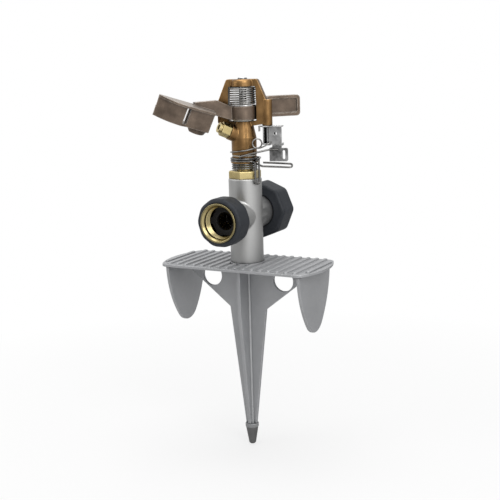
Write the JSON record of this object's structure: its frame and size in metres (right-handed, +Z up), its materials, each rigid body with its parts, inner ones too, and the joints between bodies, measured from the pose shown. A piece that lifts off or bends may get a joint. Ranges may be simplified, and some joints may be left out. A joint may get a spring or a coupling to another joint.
{
  "type": "impact sprinkler on a step spike",
  "caption": "Impact sprinkler: a bronze head with a sprung swinging arm and part-circle trip turns on a metal tee riser, held in the ground by a ribbed step plate with a long spike.",
  "frame": {"origin": "on the riser axis at the underside of the step plate, which is ground level in use", "axes": "+Z up along the riser, -Y out of the hose inlet, X along the step plate"},
  "size_m": [0.144, 0.0983, 0.3114],
  "materials": {
    "casting": "matte die casting",
    "riser": "satin casting",
    "point": "dark matte metal",
    "brass": "bright turned brass",
    "bronze": "warm cast bronze, satin",
    "arm_bronze": "dark brown cast bronze, satin",
    "plated_steel": "bright plated sheet",
    "wire": "drawn stainless wire",
    "grip": "matte moulded plastic",
    "rubber": "black rubber",
    "nylon": "natural nylon"
  },
  "bodies": {
    "base": {"step_spike": "casting", "spike_point": "point", "riser_tee": "riser", "swivel_tailpiece": "brass", "bearing_nipple": "brass", "bearing_washers": "nylon", "bearing_spring": "wire", "collar_seat": "bronze", "thrust_washer": "nylon"},
    "inlet_coupling": {"inlet_nut": "brass", "inlet_grip": "grip", "inlet_washer": "rubber"},
    "cap_seal": {"cap_washer": "rubber"},
    "cap": {"outlet_cap": "grip"},
    "lower_collar": {"lower_collar": "wire"},
    "upper_collar": {"upper_collar": "wire"},
    "head": {"sprinkler_body": "bronze", "bearing_sleeve": "brass", "nozzle": "brass", "fulcrum_pin": "plated_steel", "arm_washer": "nylon", "trip_pin": "plated_steel", "arm_spring": "wire", "trip_spring": "wire"},
    "arm": {"impact_arm": "arm_bronze", "arm_bush": "nylon", "spring_seat": "plated_steel"},
    "trip": {"trip_lever": "plated_steel", "trip_tongue": "plated_steel", "trip_rivet": "plated_steel", "trip_finger": "wire"}
  },
  "joints": [
    {"name": "inlet_swivel", "type": "hinge", "parent": "base", "child": "inlet_coupling", "pos_m": [0, -0.038, 0.0422], "axis": [0, -1, 0], "continuous": true},
    {"name": "cap_travel", "type": "slide", "parent": "base", "child": "cap_seal", "axis": [0, 1, 0], "range_m": [0, 0.01105]},
    {"name": "cap_turn", "type": "hinge", "parent": "cap_seal", "child": "cap", "pos_m": [0, 0.034, 0.0422], "axis": [0, 1, 0], "range_deg": [0, 1800]},
    {"name": "head_turn", "type": "hinge", "parent": "base", "child": "head", "pos_m": [0, 0, 0.0921], "axis": [0, 0, 1], "continuous": true},
    {"name": "arm_swing", "type": "hinge", "parent": "head", "child": "arm", "pos_m": [0, 0, 0.126], "axis": [0, 0, 1], "range_deg": [0, 90], "stiffness_Nm_per_rad": 0.02, "springref_deg": -28.65, "deforming": ["arm_spring"]},
    {"name": "trip_swing", "type": "hinge", "parent": "head", "child": "trip", "pos_m": [0.01941, 0.00484, 0.108], "axis": [0, 0, 1], "range_deg": [0, 28], "deforming": ["trip_spring"]},
    {"name": "lower_collar_turn", "type": "hinge", "parent": "base", "child": "lower_collar", "pos_m": [0, 0, 0.08745], "axis": [0, 0, 1], "range_deg": [0, 140]},
    {"name": "upper_collar_turn", "type": "hinge", "parent": "base", "child": "upper_collar", "pos_m": [0, 0, 0.0892], "axis": [0, 0, 1], "range_deg": [-140, 0]}
  ],
  "couplings": [
    {"joint": "cap_travel", "follows": "cap_turn", "m_per_rad": 0.00035153}
  ]
}
